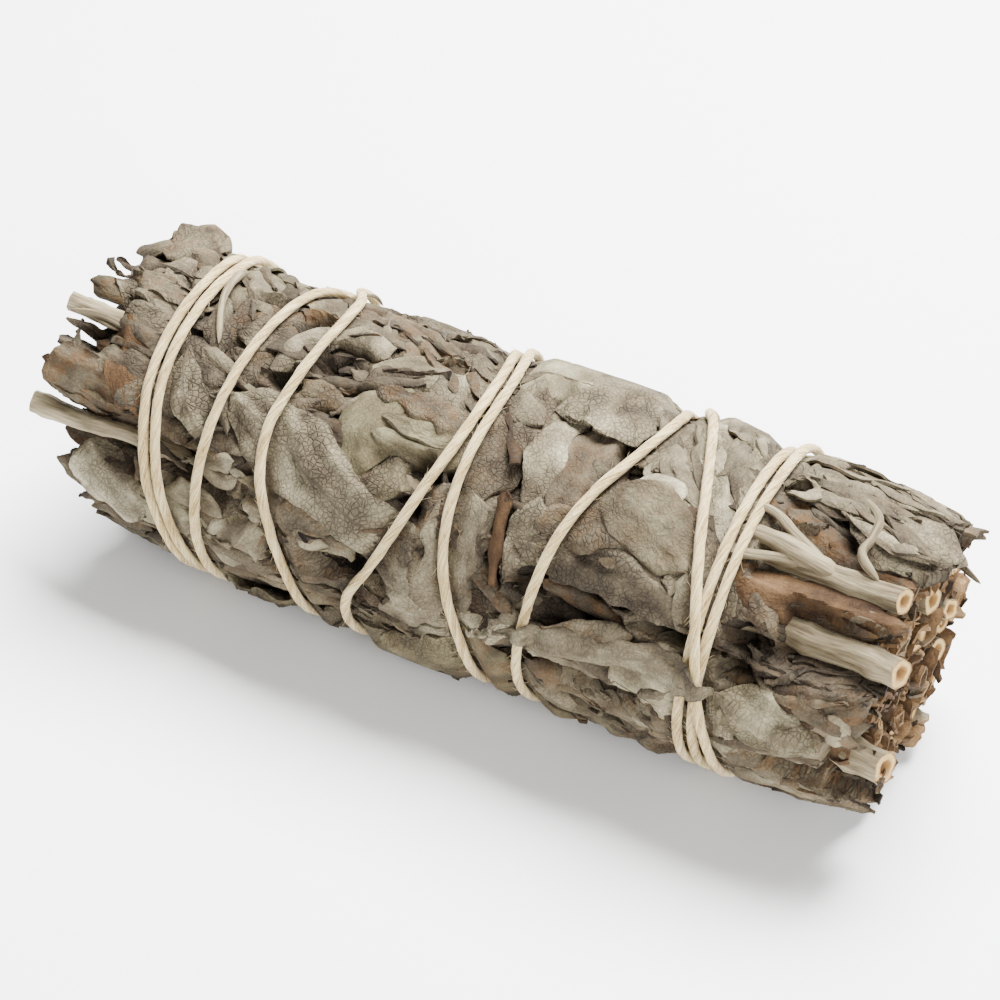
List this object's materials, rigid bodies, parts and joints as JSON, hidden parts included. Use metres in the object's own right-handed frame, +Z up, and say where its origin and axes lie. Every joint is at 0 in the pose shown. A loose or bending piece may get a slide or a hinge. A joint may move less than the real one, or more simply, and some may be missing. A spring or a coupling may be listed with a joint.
{
  "type": "sage smudge stick",
  "caption": "Long round bundle of dried white sage leaves and cut woody stems, bound with cotton string that crosses over itself, lying on its side",
  "frame": {"origin": "middle of the bounding box in X and Y, on the surface that the bundle lies on", "axes": "+X along the bundle towards the end with most cut stems, +Y towards its far side, +Z up"},
  "size_m": [0.1096, 0.0397, 0.0362],
  "materials": {
    "packed_leaf": "matte, felted, grey-green to tan",
    "outer_leaf": "matte, felted, grey-green to tan",
    "stem": "dry bark with raw cut ends",
    "string": "unbleached twisted cotton"
  },
  "bodies": {
    "root": {"leaf_bundle": "packed_leaf", "outer_leaf_01": "outer_leaf", "outer_leaf_02": "outer_leaf", "outer_leaf_03": "outer_leaf", "outer_leaf_04": "outer_leaf", "outer_leaf_05": "outer_leaf", "outer_leaf_06": "outer_leaf", "outer_leaf_07": "outer_leaf", "outer_leaf_08": "outer_leaf", "outer_leaf_09": "outer_leaf", "outer_leaf_10": "outer_leaf", "outer_leaf_11": "outer_leaf", "stem_01": "stem", "stem_02": "stem", "stem_03": "stem", "stem_04": "stem", "stem_05": "stem", "stem_06": "stem", "stem_07": "stem", "stem_08": "stem", "stem_09": "stem", "stem_10": "stem", "stem_11": "stem", "stem_12": "stem", "stem_13": "stem", "stem_14": "stem", "stem_15": "stem", "stem_16": "stem", "stem_17": "stem", "string": "string"}
  },
  "joints": []
}
